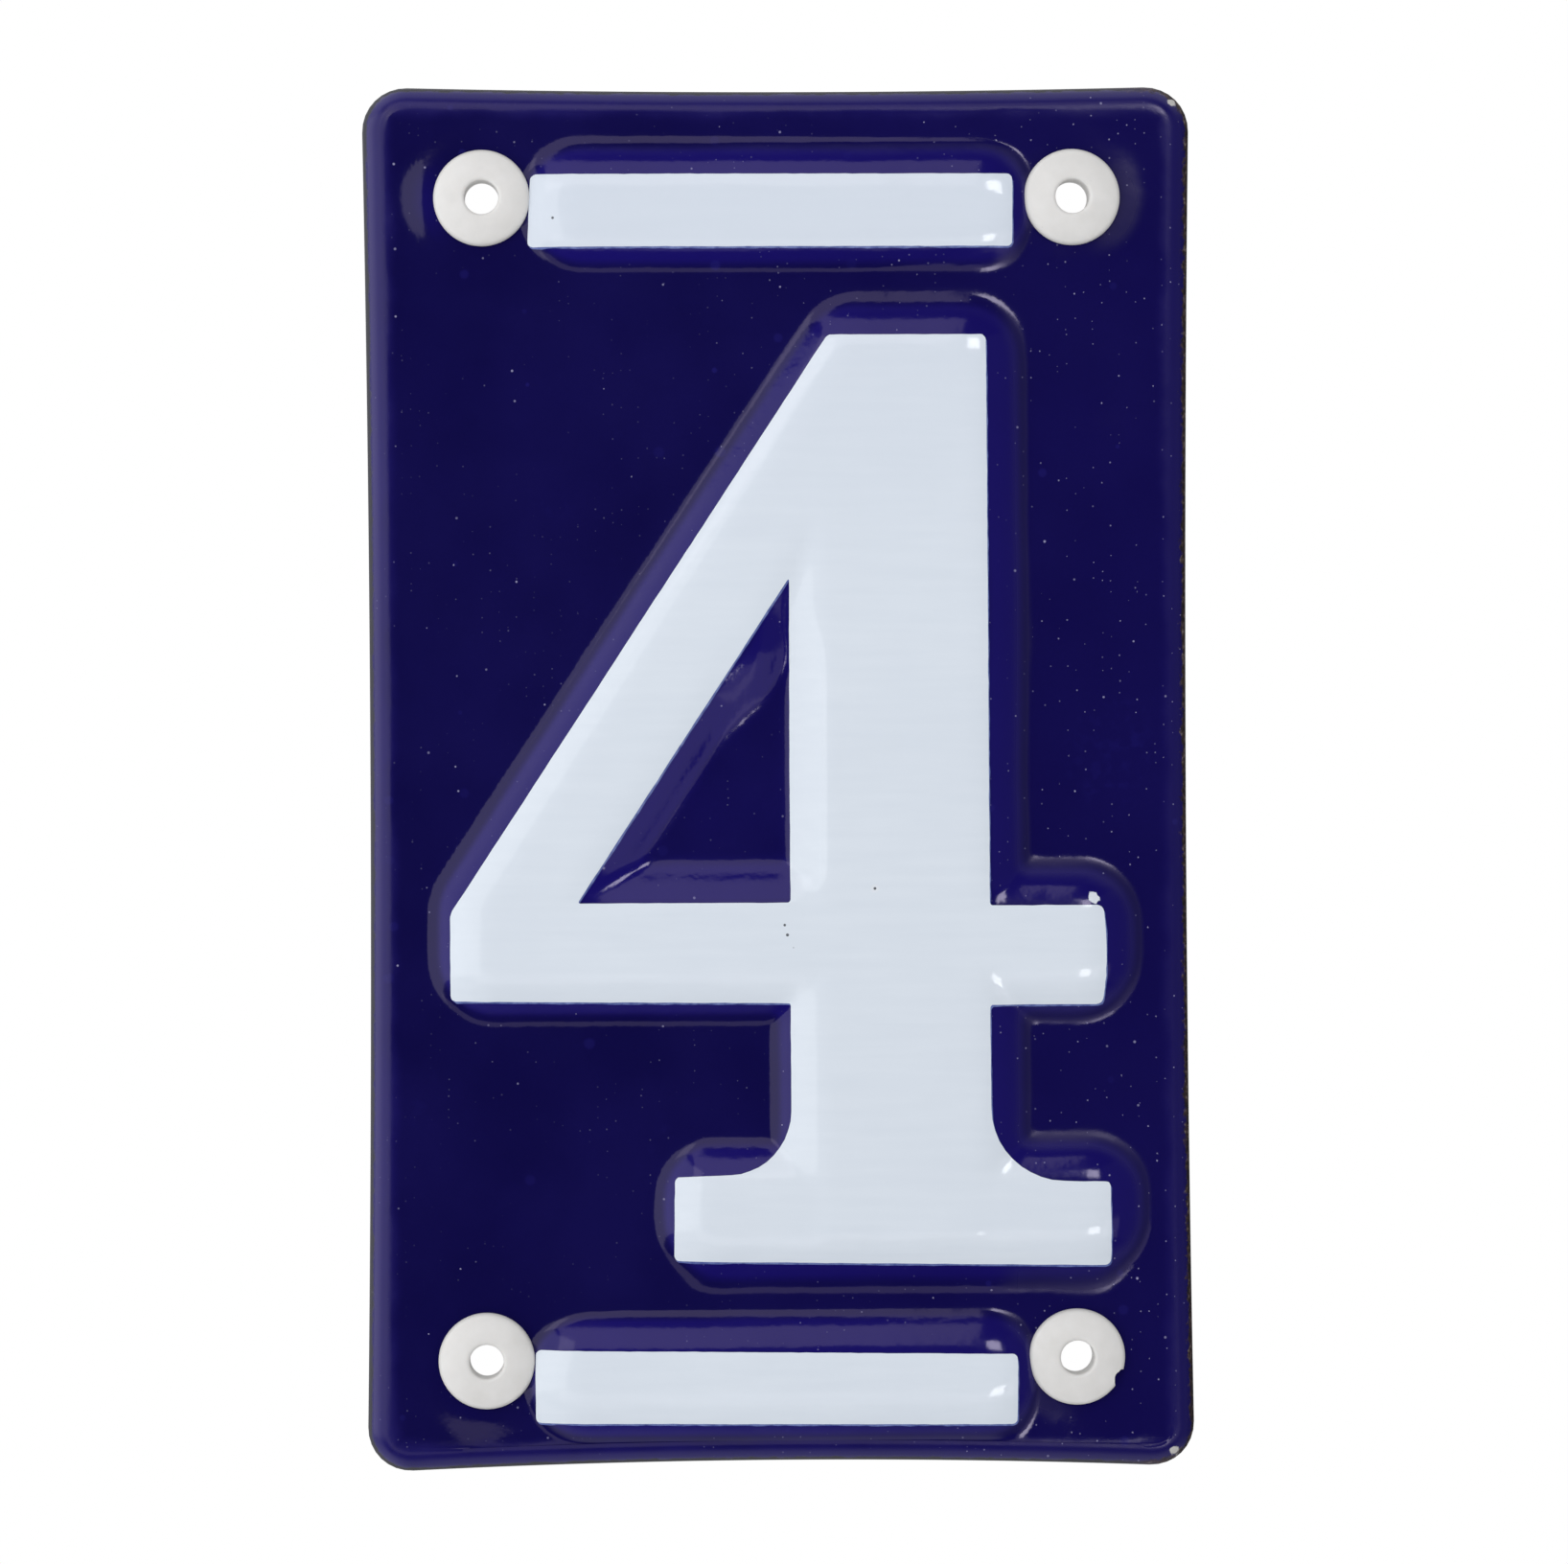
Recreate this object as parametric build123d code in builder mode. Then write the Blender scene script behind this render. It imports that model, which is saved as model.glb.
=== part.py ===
from build123d import *
import os
from math import atan2, radians, sin, sqrt, tan

# House number plaque: a pressed and enamelled steel sheet with a raised figure 4 between two raised bars,
# and four nylon bushes that keep the screws off the enamel.
# Millimetres. It stands as it hangs: +X right and +Z up as seen from the street, front towards -Y,
# and the wall is the plane Y = 0.

# Plate, as seen from the front
plate_width = 76.0
plate_height = 127.0
corner_radius = 4.2
side_bow = 0.55  # how far each side curves in at its middle
top_bow = 0.5
bottom_bow = 0.9

# Sheet and its turned-down edge
field_depth = 4.0  # wall to the front of the flat field
sheet_thickness = 1.2  # steel with its enamel
roll_radius = 2.0  # outside radius of the turned-down edge

# Relief: every raised shape rises from the field by one slope and eases into its flat crown
relief_height = 1.75
relief_slope = 30.0  # degrees from the field
crown_easing = 2.3  # width that the easing takes from the crown, and from the slope
foot_reach = 2.6  # a raised shape's edge to the foot of its slope
crown_corner = 0.3  # radius left on the flat crown at an outside corner
foot_corner = 1.0  # radius along the foot at an inside corner
slope_overlap = 0.3  # how far a raised block's slope runs on past the sheet's face

# Raised bars
bar_crown = 1.4  # flat left along the top of a bar
bar_gap = 0.1  # between a bush's head and the foot of a bar
upper_bar_margin = 2.6  # rolled edge to the foot of the upper bar
lower_bar_margin = 0.8

# Figure 4, measured along its painted edge, which lies a little way up its slope
gap_above = 2.3  # between the feet of the figure and the upper bar
gap_below = 1.9
tip_margin = 8.85  # left edge of the plate to the tip of the crossbar
arm_margin = 7.6  # right edge of the plate to the end of the crossbar
stem_margin = 17.9
serif_margin = 6.9
stem_width = 18.2
serif_width = 39.8
serif_height = 7.8
bracket_radius = 6.5  # curve between serif and stem
ledge_flat = 0.4  # least straight length of serif beside that curve
crossbar_rise = 23.8  # foot of the figure to the underside of the crossbar
crossbar_height = 9.1
tip_height = 8.2  # upright end at the left of the crossbar
top_width = 14.7
diagonal_stroke = 9.3

# Nylon bushes and their holes
hole_margin_x = 11.0  # side of the plate to the hole's centre
hole_margin_z = 10.4  # end of the plate to the hole's centre
hole_clearance = 0.1  # all round the barrel
bush_bore = 3.1
bush_barrel = 5.0
bush_head = 8.8
bush_height = 1.5  # field to the mouth of the bore
rim_height = 0.8  # field to the upper edge of the head's rim
rim_bevel = 0.35
mouth_bevel = 0.3
bush_tail = 1.0  # barrel behind the sheet
chip_radius = 0.75  # broken place in the rim of one bush
chip_depth = 0.65
chip_angle = -27.0

# Sizes that follow
slope_run = relief_height / tan(radians(relief_slope))
overlap_run = slope_overlap / tan(radians(relief_slope))
half_turn = tan(radians(relief_slope / 2))
slope_top = foot_reach - slope_run  # a raised shape's edge out to the top of its slope, before the easing
crown_reach = crown_easing - slope_top  # a raised shape's edge in to its flat crown
inner_roll = (roll_radius - sheet_thickness) * (2 - sqrt(2))  # bevel that touches the inside of the turned edge

half_width = plate_width / 2
half_height = plate_height / 2
hole_x = half_width - hole_margin_x
hole_z = half_height - hole_margin_z

bar_half_height = bar_crown / 2 + crown_reach
bar_half_length = hole_x - bush_head / 2 - bar_gap - foot_reach
upper_bar_z = half_height - top_bow - roll_radius - upper_bar_margin - foot_reach - bar_half_height
lower_bar_z = -half_height + bottom_bow + roll_radius + lower_bar_margin + foot_reach + bar_half_height

figure_top = upper_bar_z - bar_half_height - foot_reach - gap_above - foot_reach
figure_foot = lower_bar_z + bar_half_height + foot_reach + gap_below + foot_reach
tip_x = -half_width + tip_margin
arm_x = half_width - arm_margin
stem_right = half_width - stem_margin
stem_left = stem_right - stem_width
serif_right = half_width - serif_margin
serif_left = serif_right - serif_width
serif_top = figure_foot + serif_height
ledge = min(stem_left - serif_left, serif_right - stem_right)
bracket = min(bracket_radius, ledge - crown_reach - crown_corner - ledge_flat)
crossbar_foot = figure_foot + crossbar_rise
crossbar_top = crossbar_foot + crossbar_height
tip_top = crossbar_foot + tip_height
diagonal = atan2(figure_top - tip_top, stem_right - top_width - tip_x)

os.makedirs("parts", exist_ok=True)


def diagonal_x(z, inside):
    """Where the diagonal stroke's outer edge, moved inside by a distance, crosses the height z."""
    return tip_x + (z - tip_top) / tan(diagonal) + inside / sin(diagonal)


def diagonal_z(x, inside):
    """Height of that edge at x."""
    return tip_top + (x - tip_x - inside / sin(diagonal)) * tan(diagonal)


def corners_at(sketch, points):
    """The sketch's vertices nearest to the given points."""
    return [sketch.vertices().sort_by_distance(point)[0] for point in points]


def plate_outline(inset):
    """Rounded rectangle with bowed sides, moved in by the inset."""
    x = half_width - inset
    z = half_height - inset
    with BuildSketch() as outline:
        with BuildLine():
            ThreePointArc((-x, -z), (side_bow - x, 0), (-x, z))
            ThreePointArc((-x, z), (0, z - top_bow), (x, z))
            ThreePointArc((x, z), (x - side_bow, 0), (x, -z))
            ThreePointArc((x, -z), (0, bottom_bow - z), (-x, -z))
        make_face()
        fillet(outline.vertices(), corner_radius - inset)
    return outline.sketch


def figure_outline(growth):
    """Outside of the 4, grown from its edge."""
    top = figure_top + growth
    foot = figure_foot - growth
    left = tip_x - growth
    apex = (diagonal_x(top, -growth), top)
    tip = (left, diagonal_z(left, -growth))
    stem = (stem_left - growth, stem_right + growth)
    bar = (crossbar_foot - growth, crossbar_top + growth)
    serif = (serif_left - growth, serif_right + growth)
    shelf = serif_top + growth
    arm = arm_x + growth
    outside = [apex, (stem[1], top), (arm, bar[1]), (arm, bar[0]), (serif[1], shelf), (serif[1], foot)]
    outside += [(serif[0], foot), (serif[0], shelf), (left, bar[0]), tip]
    inside = [(stem[1], bar[1]), (stem[1], bar[0]), (stem[0], bar[0])]
    brackets = [(stem[1], shelf), (stem[0], shelf)]
    with BuildSketch() as outline:
        with BuildLine():
            Polyline(
                *outside[0:2],
                inside[0],
                *outside[2:4],
                inside[1],
                brackets[0],
                *outside[4:8],
                brackets[1],
                inside[2],
                *outside[8:10],
                close=True,
            )
        make_face()
        fillet(corners_at(outline, brackets), bracket - growth)
        fillet(corners_at(outline, outside), crown_reach + crown_corner + growth)
        fillet(corners_at(outline, inside), foot_reach + foot_corner - growth)
    return outline.sketch


def counter_outline(growth):
    """The closed triangle inside the 4; it shrinks as the figure grows."""
    right = stem_left - growth
    floor = crossbar_top + growth
    inside = diagonal_stroke + growth
    with BuildSketch() as outline:
        with BuildLine():
            Polyline(
                (right, floor),
                (right, diagonal_z(right, inside)),
                (diagonal_x(floor, inside), floor),
                close=True,
            )
        make_face()
        fillet(outline.vertices(), foot_reach + foot_corner - growth)
    return outline.sketch


def bar_outline(growth):
    """A raised bar with round ends."""
    with BuildSketch() as outline:
        SlotOverall(2 * (bar_half_length + growth), 2 * (bar_half_height + growth))
    return outline.sketch


def sloped_block(outline, start, narrow_end):
    """Prism on the outline, with the edges of its front (0) or back (-1) end cut to the relief's slope."""
    with BuildPart() as block:
        with BuildSketch(Plane.XZ.offset(start)):
            add(outline)
        extrude(amount=relief_height + 2 * slope_overlap)
        end = block.faces().sort_by(Axis.Y)[narrow_end]
        chamfer(end.edges(), slope_run + overlap_run, relief_height + slope_overlap, reference=end)
    return block.part


def pressed_form(inset):
    """Solid behind the plaque's front face, with that face moved in by the inset and its bends left sharp."""
    level = field_depth - inset
    base_growth = foot_reach + overlap_run - inset * half_turn
    crown_growth = slope_top - overlap_run - inset * half_turn
    bar = sloped_block(bar_outline(base_growth), level - 2 * slope_overlap, 0)
    figure = sloped_block(figure_outline(base_growth), level - 2 * slope_overlap, 0)
    counter = sloped_block(counter_outline(crown_growth), level, -1)
    with BuildPart() as form:
        with BuildSketch(Plane.XZ):
            add(plate_outline(inset))
        extrude(amount=level)
        with Locations((0, 0, upper_bar_z), (0, 0, lower_bar_z)):
            add(bar)
        add(figure)
        add(counter, mode=Mode.SUBTRACT)
    return form.part


def field_rim(form):
    """Edges of a pressed form where its flat field meets its sides."""
    fields = form.faces().filter_by(Axis.Y).group_by(Axis.Y)[1]
    return fields.sort_by(SortBy.AREA)[-1].outer_wire().edges()


def bush_profile():
    """Half section of a bush: radius to the right, height above the wall upwards."""
    tail = field_depth - sheet_thickness - bush_tail
    bore = bush_bore / 2
    barrel = bush_barrel / 2
    head = bush_head / 2
    mouth = (bore, field_depth + bush_height)
    rim = (head, field_depth + rim_height)
    with BuildSketch() as profile:
        with BuildLine():
            Polyline(
                mouth,
                (bore, tail),
                (barrel, tail),
                (barrel, field_depth),
                (head, field_depth),
                rim,
                close=True,
            )
        make_face()
        chamfer(corners_at(profile, [mouth]), mouth_bevel)
        chamfer(corners_at(profile, [rim]), rim_bevel)
    return profile.sketch


# Plate: one sheet, so its back follows its front
with BuildPart() as hollow:
    add(pressed_form(sheet_thickness))
    chamfer(field_rim(hollow), inner_roll)
with BuildPart() as plate:
    add(pressed_form(0))
    fillet(field_rim(plate), roll_radius)
    crowns = plate.faces().filter_by(Axis.Y).group_by(Axis.Y)[0]
    chamfer(crowns.edges(), crown_easing)
    add(hollow.part, mode=Mode.SUBTRACT)
    with Locations(Plane.XZ.offset(field_depth)):
        with GridLocations(2 * hole_x, 2 * hole_z, 2, 2):
            Hole(bush_barrel / 2 + hole_clearance, depth=field_depth)
plate.part.label = "plate"
export_step(plate.part, "parts/plate.step")

# Bushes: turned alike, and one has a piece broken out of its rim
bush_places = {
    "bush_upper_left": (-hole_x, hole_z),
    "bush_upper_right": (hole_x, hole_z),
    "bush_lower_left": (-hole_x, -hole_z),
    "bush_lower_right": (hole_x, -hole_z),
}
chipped_bush = "bush_lower_right"
chip_reach = bush_head / 2 + chip_radius - chip_depth
for name, (bush_x, bush_z) in bush_places.items():
    with BuildPart() as bush:
        with BuildSketch(Plane((bush_x, 0, bush_z), x_dir=(1, 0, 0), z_dir=(0, 0, -1))):
            add(bush_profile())
        revolve(axis=Axis((bush_x, 0, bush_z), (0, 1, 0)))
        if name == chipped_bush:
            with BuildSketch(Plane((bush_x, -field_depth, bush_z), x_dir=(1, 0, 0), z_dir=(0, -1, 0))):
                with PolarLocations(chip_reach, 1, start_angle=chip_angle):
                    Circle(chip_radius)
            extrude(amount=bush_height, mode=Mode.SUBTRACT)
    bush.part.label = name
    export_step(bush.part, f"parts/{name}.step")
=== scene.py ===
# %% [markdown]
# This lesson dresses an enamelled house number plaque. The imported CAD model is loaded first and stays
# where it is: it gives the size, the place of every piece and the relief that the finer pieces are laid
# on. Lengths are written in millimetres and multiplied by mm, because Blender and the frame work in
# metres.

# %% Load the frame
import math
from collections import Counter

import bmesh
import bpy
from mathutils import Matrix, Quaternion, Vector


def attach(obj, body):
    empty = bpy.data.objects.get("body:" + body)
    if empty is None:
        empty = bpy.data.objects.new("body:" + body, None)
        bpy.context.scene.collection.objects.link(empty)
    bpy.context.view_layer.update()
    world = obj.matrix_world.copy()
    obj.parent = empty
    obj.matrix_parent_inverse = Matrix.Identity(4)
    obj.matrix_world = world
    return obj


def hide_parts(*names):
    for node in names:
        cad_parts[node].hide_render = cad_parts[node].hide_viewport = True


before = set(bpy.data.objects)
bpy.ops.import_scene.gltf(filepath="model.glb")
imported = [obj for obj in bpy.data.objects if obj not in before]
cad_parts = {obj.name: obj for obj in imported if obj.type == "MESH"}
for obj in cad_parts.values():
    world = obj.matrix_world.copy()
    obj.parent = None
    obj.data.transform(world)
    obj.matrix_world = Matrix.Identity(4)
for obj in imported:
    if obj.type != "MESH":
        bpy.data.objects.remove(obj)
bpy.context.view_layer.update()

mm = 0.001

# %% [markdown]
# Operators work on whatever is selected, so small helpers keep that under control: one opens a single
# piece in edit mode, one selects only the vertices, edges or faces that pass a test, and one adds a
# modifier and applies it at once.

# %% Helpers for selecting and for modifiers


def select_only(piece):
    """Leaves edit mode and makes one piece the only selected and active object."""
    if bpy.context.mode != "OBJECT":
        bpy.ops.object.mode_set(mode="OBJECT")
    bpy.ops.object.select_all(action="DESELECT")
    piece.select_set(True)
    bpy.context.view_layer.objects.active = piece


def edit(piece):
    """Opens one piece in edit mode with nothing of it selected."""
    select_only(piece)
    bpy.ops.object.mode_set(mode="EDIT")
    bpy.ops.mesh.select_all(action="DESELECT")


def pick(piece, kind, test):
    """In edit mode, selects only the elements of one kind that pass the test, and returns how many."""
    bpy.ops.mesh.select_mode(type=kind)
    bpy.ops.mesh.select_all(action="DESELECT")
    shape = bmesh.from_edit_mesh(piece.data)
    elements = {"VERT": shape.verts, "EDGE": shape.edges, "FACE": shape.faces}[kind]
    chosen = [element for element in elements if test(element)]
    for element in chosen:
        element.select_set(True)
    bmesh.update_edit_mesh(piece.data)
    return len(chosen)


def modify(piece, kind, **settings):
    """Adds one modifier with these settings and applies it."""
    select_only(piece)
    modifier = piece.modifiers.new(kind.lower(), kind)
    for name, value in settings.items():
        setattr(modifier, name, value)
    bpy.ops.object.modifier_apply(modifier=modifier.name)


def triangles(piece):
    return sum(len(face.vertices) - 2 for face in piece.data.polygons)


# %% [markdown]
# The plate is one pressed sheet of steel: a field 4 mm off the wall, an edge rolled over to the wall all
# round, and a raised figure and two raised bars. The CAD model has it in flat facets. Here a fine even
# net of quads is wanted instead, because the enamel's reflections run smoothly over the slopes. The
# outline comes first: a plane with its corners bevelled, its sides divided and pulled in slightly, as
# they are on the real sheet.

# %% The plate's outline
plate_width, plate_height = 76 * mm, 127 * mm
corner_radius = 4.2 * mm
side_bow, top_bow, bottom_bow = 0.55 * mm, 0.5 * mm, 0.9 * mm
net_size = 0.86 * mm
corner_steps = 8
top_steps = 2 * round((plate_width / 2 - corner_radius) / net_size)
side_steps = 2 * round((plate_height / 2 - corner_radius) / net_size)

bpy.ops.object.select_all(action="DESELECT")
bpy.ops.mesh.primitive_plane_add(size=1, rotation=(math.pi / 2, 0, 0))
plate = bpy.context.object
plate.name = plate.data.name = "enamel_plate"
plate.scale = (plate_width, plate_height, 1)
bpy.ops.object.transform_apply(location=True, rotation=True, scale=True)

edit(plate)
bpy.ops.mesh.select_all(action="SELECT")
bpy.ops.mesh.bevel(offset=corner_radius, segments=corner_steps, affect="VERTICES")
bpy.ops.mesh.select_all(action="SELECT")
bpy.ops.mesh.delete(type="ONLY_FACE")
pick(plate, "EDGE", lambda edge: edge.calc_length() > plate_height / 2)
bpy.ops.mesh.subdivide(number_cuts=side_steps - 1)
pick(plate, "EDGE", lambda edge: edge.calc_length() > plate_width / 2)
bpy.ops.mesh.subdivide(number_cuts=top_steps - 1)
outline = bmesh.from_edit_mesh(plate.data)
for point in outline.verts:
    across, up = point.co.x / (plate_width / 2), point.co.z / (plate_height / 2)
    point.co.x -= across * side_bow * (1 - up * up)
    point.co.z -= up * (top_bow if up > 0 else bottom_bow) * (1 - across * across)
bmesh.update_edit_mesh(plate.data)
print("outline of", len(outline.verts), "points")

# %% [markdown]
# Extruding the outline forwards gives the turned-down edge, and a round bevel of its front edge gives
# the roll. The front is then filled with a grid, which makes a net of nearly square cells.

# %% The rolled edge and the net
field_depth = 4.0 * mm
roll_radius = 2.0 * mm
roll_steps = 6
hair = 0.001 * mm  # places closer than this are the same


def at_front(edge):
    return all(end.co.y < hair - field_depth for end in edge.verts)


bpy.ops.mesh.select_all(action="SELECT")
bpy.ops.mesh.extrude_edges_move(TRANSFORM_OT_translate={"value": (0, -field_depth, 0)})
bpy.ops.mesh.edge_face_add()
pick(plate, "EDGE", at_front)
bpy.ops.mesh.bevel(offset=roll_radius, segments=roll_steps, affect="EDGES")
pick(plate, "FACE", lambda face: len(face.verts) > 4 * corner_steps)
bpy.ops.mesh.delete(type="ONLY_FACE")
pick(plate, "EDGE", lambda edge: edge.is_boundary and at_front(edge))
bpy.ops.mesh.select_mode(type="VERT")
shape = bmesh.from_edit_mesh(plate.data)
upper_left = max((v for v in shape.verts if v.select), key=lambda v: v.co.z - v.co.x)
shape.select_history.clear()
shape.select_history.add(upper_left)
bpy.ops.mesh.fill_grid(span=top_steps + corner_steps)
bpy.ops.mesh.select_all(action="SELECT")
bpy.ops.mesh.normals_make_consistent(inside=False)
shape = bmesh.from_edit_mesh(plate.data)
if sum(face.normal.y for face in shape.faces) > 0:
    bpy.ops.mesh.flip_normals()
longest = max(edge.calc_length() for edge in bmesh.from_edit_mesh(plate.data).edges)
print("net's longest edge in mm:", round(longest / mm, 2))

# %% [markdown]
# The net is lifted in front of the plate and dropped onto the CAD model with a Shrinkwrap, so that it
# takes the relief, as a sheet takes the shape of a press tool. Over the open holes it finds nothing, so
# there it is set to the field. A smoothing along the depth alone takes the facets' edges off.

# %% The relief, pressed from the CAD model
lift = 6 * mm
flat_normal = -0.9999
cad_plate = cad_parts["plate"]


def press(both_ways):
    """Drops the net onto the CAD plate along the depth."""
    modify(plate, "SHRINKWRAP", target=cad_plate, wrap_method="PROJECT", use_project_y=True,
           use_negative_direction=both_ways, use_positive_direction=True, vertex_group="net")


def ease(group, rounds):
    """Smooths one vertex group of the plate along the depth alone."""
    modify(plate, "SMOOTH", factor=0.5, iterations=rounds, use_x=False, use_z=False, vertex_group=group)


pick(plate, "VERT", lambda v: all(face.normal.y < flat_normal for face in v.link_faces))
bpy.ops.object.vertex_group_assign_new()
plate.vertex_groups.active.name = "net"
bpy.ops.transform.translate(value=(0, -lift, 0))
press(both_ways=False)
over_holes = [point for point in plate.data.vertices if point.co.y < -lift]
for point in over_holes:
    point.co.y = -field_depth
ease("net", 2)
print("points left over the open holes:", len(over_holes))

# %% [markdown]
# A Solidify gives the sheet its thickness, so the back follows the front as in a real pressing. Only the
# front is then divided once more, because only the front shows reflections, and it is dropped onto the
# CAD model again.

# %% Thickness, and a finer front
sheet_thickness = 1.2 * mm
wall_top = roll_radius - field_depth
plate.vertex_groups.new(name="back")
modify(plate, "SOLIDIFY", thickness=sheet_thickness, offset=-1, use_even_offset=True,
       shell_vertex_group="back")
back_index = plate.vertex_groups["back"].index


def on_back(face, weights):
    return any(back_index in corner[weights] for corner in face.verts)


edit(plate)
plate.vertex_groups.active_index = back_index
bpy.ops.object.vertex_group_select()
plate.vertex_groups.active_index = plate.vertex_groups["net"].index
bpy.ops.object.vertex_group_remove_from()
weights = bmesh.from_edit_mesh(plate.data).verts.layers.deform.active
pick(plate, "FACE", lambda face: face.calc_center_median().y < wall_top and not on_back(face, weights))
bpy.ops.mesh.subdivide(number_cuts=1)
press(both_ways=True)
print("plate triangles:", triangles(plate))

# %% [markdown]
# The front is now shaped more closely than the CAD model shows it. The CAD's flat facet between slope
# and crown is the chord of a round shoulder, so each height on it is carried to the arc. The press
# tool's inside corners were mitred: there each straight slope runs on until it meets the next, so its
# height is read from the CAD model further along. The counter of the figure is a triangle between three
# such slopes, and the one that stands highest counts.

# %% Heights of the press tool
relief_height, relief_slope = 1.75 * mm, math.radians(30)
crown_easing = 2.3 * mm
crown_radius = crown_easing / math.tan(relief_slope / 2)
shoulder = relief_height - crown_easing * math.sin(relief_slope)

# Each box in mm round an inside corner: left, right, low and high, then the x at which its level slope
# is read and the z at which its upright slope is read.
inner_corners = [(12, 26.5, -42, 0, 26.5, 0), (-7.2, 8, -42, -14, -7.2, -28)]
counter_low, counter_high, counter_right, counter_rim = -15, 24, 4.5, 3.5
apex_place = (0.9, 18.3)
diagonal_x, diagonal_z = 0.836, -0.548  # direction from the diagonal stroke into the counter
diagonal_place, stem_place, crossbar_place = (-8.8, 3.5), (-5, -2), (-4, 0)
slope_reach = 6


def cad_height(x, z):
    """Height of the CAD model's front over the field, at a place in mm."""
    found, place, _, _ = cad_plate.ray_cast((x * mm, -2 * lift, z * mm), (0, 1, 0))
    return -field_depth - place.y if found else 0.0


def past_diagonal(x, z):
    """How far a place in mm lies on the counter's side of the diagonal stroke's edge."""
    return diagonal_x * (x - apex_place[0]) + diagonal_z * (z - apex_place[1])


def in_counter(x, z):
    return counter_low < z < counter_high and x < counter_right and past_diagonal(x, z) > -counter_rim


def counter_height(x, z):
    reach = min(past_diagonal(x, z), slope_reach)
    return max(cad_height(diagonal_place[0] + diagonal_x * reach, diagonal_place[1] + diagonal_z * reach),
               cad_height(max(x, stem_place[0]), stem_place[1]),
               cad_height(crossbar_place[0], min(z, crossbar_place[1])))


def mitred_height(x, z, height):
    for left, right, low, high, along_x, along_z in inner_corners:
        if left < x < right and low < z < high:
            height = max(cad_height(along_x, z), cad_height(x, along_z))
    return height


def rounded_height(height):
    """Carries a height on the CAD model's flat shoulder to the arc above it."""
    if height > shoulder:
        run = max(0, relief_height - height) / math.tan(relief_slope / 2)
        height = relief_height - crown_radius + math.sqrt(crown_radius ** 2 - run ** 2)
    return height


print("crown radius in mm:", round(crown_radius / mm, 2))

# %% [markdown]
# The sheet didn't follow its tool everywhere. The lower bar is pressed a little shallower than the
# figure and sits lower than its holes, the upper bar and the top of the figure are shallower still, and
# so is the counter. The ends of the bars reach further out, the wall between counter and stem lies
# further right, and the sheet sags towards its bottom edge. Each of these fades in and out smoothly.

# %% How the sheet took it
lower_bar_top, lower_bar_share, top_fall = -45.5 * mm, 0.9, 0.25
counter_depth = 0.86
bar_slide, stem_slide, sag = 0.95 * mm, 1.5 * mm, 0.35 * mm
bar_right_slide, bar_left_slide = 2.0 * mm, 1.3 * mm
side_sag_loss = 0.65

# Zones in mm: where a change starts, where it is full, where it begins to fade and where it ends.
stem_columns, stem_rows = (-6, -2.5, 1.5, 5), (-11.5, -8, 10, 16)
lower_bar_rows, bar_rows = (-61.6, -59.3, -46.5, -44), (44, 46, 60, 62)
right_end, left_end = (10, 16, 19, 25.5), (10, 16, 20, 26)
# Ramps in mm: where a change starts and where it is full.
top_rows, sag_rows = (20, 50), (58.0, 64.5)
bar_sides, sag_sides = (32, 35), (16, 26)


def ramp(value, low, high):
    """Rises smoothly from 0 at low to 1 at high, both in mm."""
    share = min(1, max(0, (value / mm - low) / (high - low)))
    return share * share * (3 - 2 * share)


def within(value, zone, amount):
    """This amount inside a zone, faded towards its ends."""
    start, full, fade, end = zone
    return amount * ramp(value, start, full) * (1 - ramp(value, fade, end))


front_index = plate.vertex_groups["net"].index
front_points = [point for point in plate.data.vertices
                if any(group.group == front_index for group in point.groups)]
counter_points = []
for point in front_points:
    x, z = point.co.x, point.co.z
    if in_counter(x / mm, z / mm):
        counter_points.append(point.index)
        height = rounded_height(counter_height(x / mm, z / mm))
        point.co.y = -field_depth - relief_height + (relief_height - height) * counter_depth
    else:
        height = rounded_height(mitred_height(x / mm, z / mm, -field_depth - point.co.y))
        share = lower_bar_share if z < lower_bar_top else 1 - top_fall * ramp(z, *top_rows)
        point.co.y = -field_depth - height * share
    at_bars = within(abs(z), bar_rows, 1)
    point.co.x += within(z, stem_rows, within(x, stem_columns, stem_slide))
    point.co.z -= within(z, lower_bar_rows, bar_slide * (1 - ramp(abs(x), *bar_sides)))
    point.co.x += within(x, right_end, bar_right_slide) * at_bars
    point.co.x -= within(-x, left_end, bar_left_slide) * at_bars
    point.co.y += sag * ramp(-z, *sag_rows) * (1 - side_sag_loss * ramp(abs(x), *sag_sides))
ease("net", 9)
counter_group = plate.vertex_groups.new(name="counter")
counter_group.add(counter_points, 1.0, "REPLACE")
ease("counter", 4)
print("front of", len(front_points), "points,", len(counter_points), "of them in the counter")

# %% [markdown]
# Hand-sprayed enamel on thin sheet is never quite flat. Two cloud textures move the front by a few
# hundredths of a millimetre, and each hole gets a low swelling round it, highest on one side, where the
# punch and the tight bush have raised the metal.

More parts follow.
